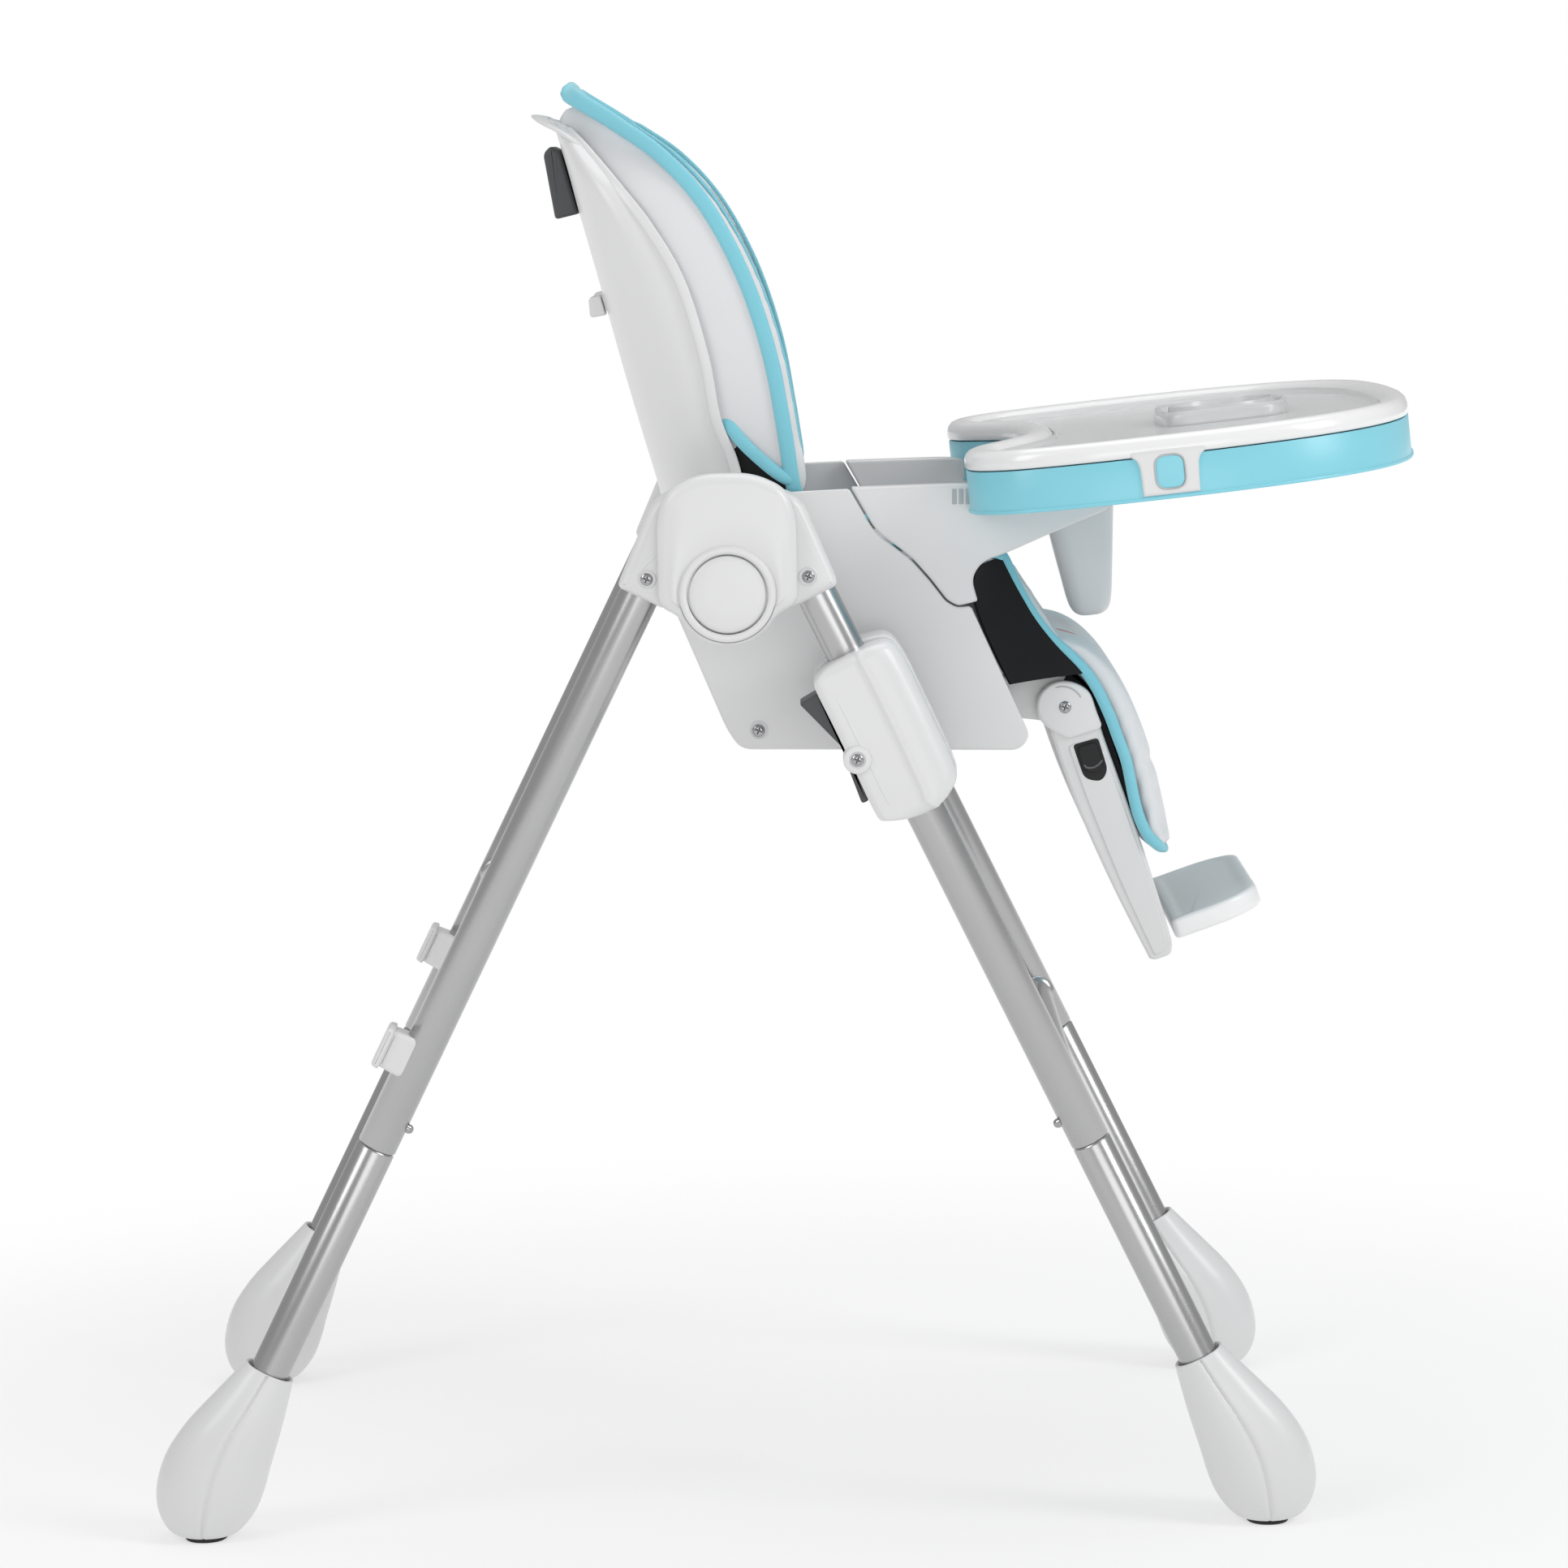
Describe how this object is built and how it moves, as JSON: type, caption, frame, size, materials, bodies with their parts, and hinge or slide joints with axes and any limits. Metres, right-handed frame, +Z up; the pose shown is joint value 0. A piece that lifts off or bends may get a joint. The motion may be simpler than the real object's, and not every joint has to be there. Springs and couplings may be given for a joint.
{
  "type": "baby high chair",
  "caption": "Folding baby high chair: tubular A-frame legs on release hubs, height-sliding seat, reclining padded back, tilting leg rest with foot plate, and a sliding tray.",
  "frame": {"origin": "on the floor, in the middle of the outline's depth and width", "axes": "+Z up, +X the way the child faces, +Y to the child's left"},
  "size_m": [0.9437, 0.57, 1.05],
  "materials": {
    "steel_tube": "satin silver-grey powder coat",
    "button_steel": "plain zinc-plated",
    "white_plastic": "satin moulded",
    "blue_plastic": "satin moulded",
    "black_plastic": "fine grain",
    "cushion": "wipe-clean coated cloth with sky-blue piping",
    "sole_rubber": "matt",
    "clear_plastic": "translucent, glossy"
  },
  "bodies": {
    "front_frame": {"front_upper_tube_right": "steel_tube", "front_upper_tube_left": "steel_tube", "front_lower_tube_right": "steel_tube", "front_lower_tube_left": "steel_tube", "front_leg_socket_right": "white_plastic", "front_leg_socket_left": "white_plastic", "hub_cover_right": "white_plastic", "hub_cover_left": "white_plastic", "front_foot_right": "white_plastic", "front_foot_left": "white_plastic", "front_foot_sole_right": "sole_rubber", "front_foot_sole_left": "sole_rubber", "front_crossbar": "steel_tube"},
    "rear_frame": {"rear_upper_tube_right": "steel_tube", "rear_upper_tube_left": "steel_tube", "rear_lower_tube_right": "steel_tube", "rear_lower_tube_left": "steel_tube", "rear_leg_socket_right": "white_plastic", "rear_leg_socket_left": "white_plastic", "tray_hook_right": "white_plastic", "tray_hook_left": "white_plastic", "rear_foot_right": "white_plastic", "rear_foot_left": "white_plastic", "rear_foot_sole_right": "sole_rubber", "rear_foot_sole_left": "sole_rubber", "rear_crossbar": "steel_tube"},
    "seat": {"slider_outer_shell_right": "white_plastic", "slider_outer_shell_left": "white_plastic", "slider_inner_shell_right": "white_plastic", "slider_inner_shell_left": "white_plastic", "seat_side_right": "white_plastic", "seat_side_left": "white_plastic", "armrest_right": "white_plastic", "armrest_left": "white_plastic", "seat_pan": "white_plastic", "seat_pad": "cushion"},
    "back": {"back_shell": "white_plastic", "back_pad": "cushion"},
    "recline_handle": {"recline_handle": "black_plastic"},
    "legrest": {"legrest_frame": "white_plastic", "legrest_pad": "cushion", "footrest": "white_plastic"},
    "tray": {"tray_lower_shell": "blue_plastic", "tray_upper_shell": "white_plastic", "crotch_post": "white_plastic"},
    "tray_insert": {"tray_insert": "clear_plastic"},
    "fold_button_right": {"fold_button_right": "white_plastic"},
    "fold_button_left": {"fold_button_left": "white_plastic"},
    "height_lever_right": {"height_lever_right": "black_plastic"},
    "height_lever_left": {"height_lever_left": "black_plastic"},
    "legrest_latch_right": {"legrest_latch_right": "black_plastic"},
    "legrest_latch_left": {"legrest_latch_left": "black_plastic"},
    "tray_button_right": {"tray_button_right": "blue_plastic"},
    "tray_button_left": {"tray_button_left": "blue_plastic"},
    "front_snap_button_right": {"front_snap_button_right": "button_steel"},
    "front_snap_button_left": {"front_snap_button_left": "button_steel"},
    "rear_snap_button_right": {"rear_snap_button_right": "button_steel"},
    "rear_snap_button_left": {"rear_snap_button_left": "button_steel"}
  },
  "joints": [
    {"name": "rear_leg_fold", "type": "hinge", "parent": "front_frame", "child": "rear_frame", "pos_m": [-0.0445, 0, 0.693], "axis": [0, -1, 0], "range_deg": [0, 48]},
    {"name": "seat_height", "type": "slide", "parent": "front_frame", "child": "seat", "axis": [0.4321, 0, -0.9018], "range_m": [0, 0.2]},
    {"name": "back_recline", "type": "hinge", "parent": "seat", "child": "back", "pos_m": [-0.053, 0, 0.69], "axis": [0, -1, 0], "range_deg": [0, 35]},
    {"name": "recline_handle_pull", "type": "slide", "parent": "back", "child": "recline_handle", "axis": [-0.259, 0, 0.9659], "range_m": [0, 0.008], "stiffness_N_per_m": 800},
    {"name": "legrest_tilt", "type": "hinge", "parent": "seat", "child": "legrest", "pos_m": [0.202, 0, 0.591], "axis": [0, -1, 0], "range_deg": [0, 60]},
    {"name": "tray_slide", "type": "slide", "parent": "seat", "child": "tray", "axis": [1, 0, 0], "range_m": [-0.02, 0.06]},
    {"name": "tray_insert_lift", "type": "slide", "parent": "tray", "child": "tray_insert", "axis": [-0.0941, 0, 0.9956], "range_m": [0, 0.03]},
    {"name": "fold_button_right_press", "type": "slide", "parent": "front_frame", "child": "fold_button_right", "axis": [0, 1, 0], "range_m": [0, 0.005], "stiffness_N_per_m": 1500},
    {"name": "height_lever_right_squeeze", "type": "hinge", "parent": "seat", "child": "height_lever_right", "pos_m": [0.04668, -0.245, 0.57213], "axis": [0, 1, 0], "range_deg": [0, 9], "stiffness_Nm_per_rad": 1.5},
    {"name": "legrest_latch_right_slide", "type": "slide", "parent": "legrest", "child": "legrest_latch_right", "axis": [0.2924, 0, -0.9563], "range_m": [0, 0.006], "stiffness_N_per_m": 500},
    {"name": "tray_button_right_press", "type": "slide", "parent": "tray", "child": "tray_button_right", "axis": [0, 1, 0], "range_m": [0, 0.004], "stiffness_N_per_m": 1000},
    {"name": "front_snap_button_right_press", "type": "slide", "parent": "front_frame", "child": "front_snap_button_right", "axis": [0.9018, 0, 0.4321], "range_m": [0, 0.0045], "stiffness_N_per_m": 1500},
    {"name": "rear_snap_button_right_press", "type": "slide", "parent": "rear_frame", "child": "rear_snap_button_right", "axis": [-0.8945, 0, 0.447], "range_m": [0, 0.0045], "stiffness_N_per_m": 1500},
    {"name": "fold_button_left_press", "type": "slide", "parent": "front_frame", "child": "fold_button_left", "axis": [0, -1, 0], "range_m": [0, 0.005], "stiffness_N_per_m": 1500},
    {"name": "height_lever_left_squeeze", "type": "hinge", "parent": "seat", "child": "height_lever_left", "pos_m": [0.04668, 0.245, 0.57213], "axis": [0, 1, 0], "range_deg": [0, 9], "stiffness_Nm_per_rad": 1.5},
    {"name": "legrest_latch_left_slide", "type": "slide", "parent": "legrest", "child": "legrest_latch_left", "axis": [0.2924, 0, -0.9563], "range_m": [0, 0.006], "stiffness_N_per_m": 500},
    {"name": "tray_button_left_press", "type": "slide", "parent": "tray", "child": "tray_button_left", "axis": [0, -1, 0], "range_m": [0, 0.004], "stiffness_N_per_m": 1000},
    {"name": "front_snap_button_left_press", "type": "slide", "parent": "front_frame", "child": "front_snap_button_left", "axis": [0.9018, 0, 0.4321], "range_m": [0, 0.0045], "stiffness_N_per_m": 1500},
    {"name": "rear_snap_button_left_press", "type": "slide", "parent": "rear_frame", "child": "rear_snap_button_left", "axis": [-0.8945, 0, 0.447], "range_m": [0, 0.0045], "stiffness_N_per_m": 1500}
  ]
}
